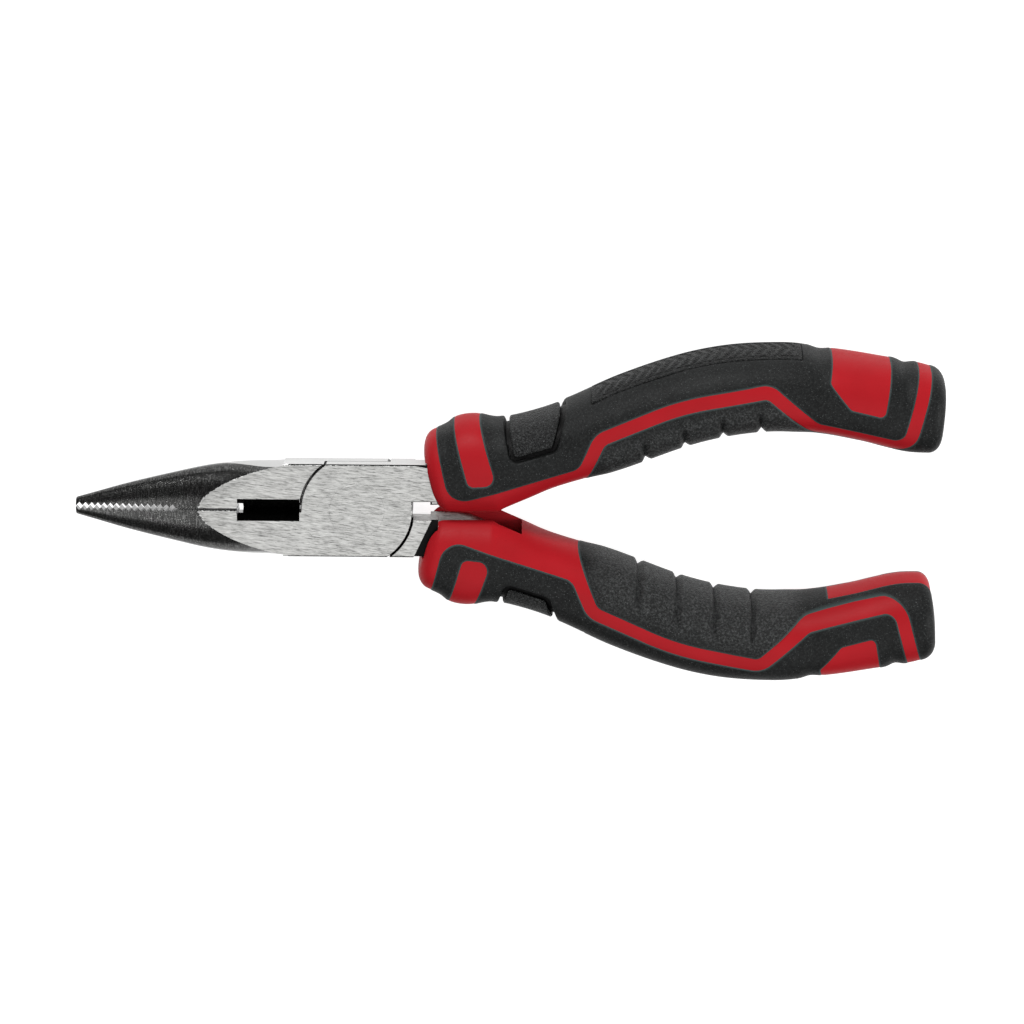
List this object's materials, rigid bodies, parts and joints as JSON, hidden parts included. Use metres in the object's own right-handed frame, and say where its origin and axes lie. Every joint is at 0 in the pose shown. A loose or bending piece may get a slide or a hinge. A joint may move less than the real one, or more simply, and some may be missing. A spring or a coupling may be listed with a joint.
{
  "type": "long-nose pliers with side cutter",
  "caption": "Long-nose pliers with serrated half-round jaws, a side cutter, a riveted lap joint and bowed red and black moulded grips.",
  "frame": {"origin": "centre of the rivet's back face, on the pivot axis", "axes": "+Z along the pivot axis to the front face, -X to the jaw tips, +X to the handle ends, +Y to the handle of the front lever"},
  "size_m": [0.1656, 0.0638, 0.017],
  "materials": {
    "forged_steel": "ground faces, black oxide nose",
    "rivet_steel": "ground flush",
    "red_plastic": "satin moulded",
    "black_skin": "matte fine grain",
    "pad_rubber": "matte textured"
  },
  "bodies": {
    "back_half": {"lever_back": "forged_steel", "grip_core_lower": "red_plastic", "grip_back_skin_lower": "black_skin", "grip_finger_skin_lower": "black_skin", "thumb_pad_lower": "pad_rubber", "back_panel_lower": "pad_rubber", "pivot_rivet": "rivet_steel"},
    "front_half": {"lever_front": "forged_steel", "grip_core_upper": "red_plastic", "grip_back_skin_upper": "black_skin", "grip_finger_skin_upper": "black_skin", "thumb_pad_upper": "pad_rubber", "back_panel_upper": "pad_rubber"}
  },
  "joints": [
    {"name": "pivot", "type": "hinge", "parent": "back_half", "child": "front_half", "pos_m": [0, 0, 0], "axis": [0, 0, 1], "range_deg": [0, 50]}
  ]
}
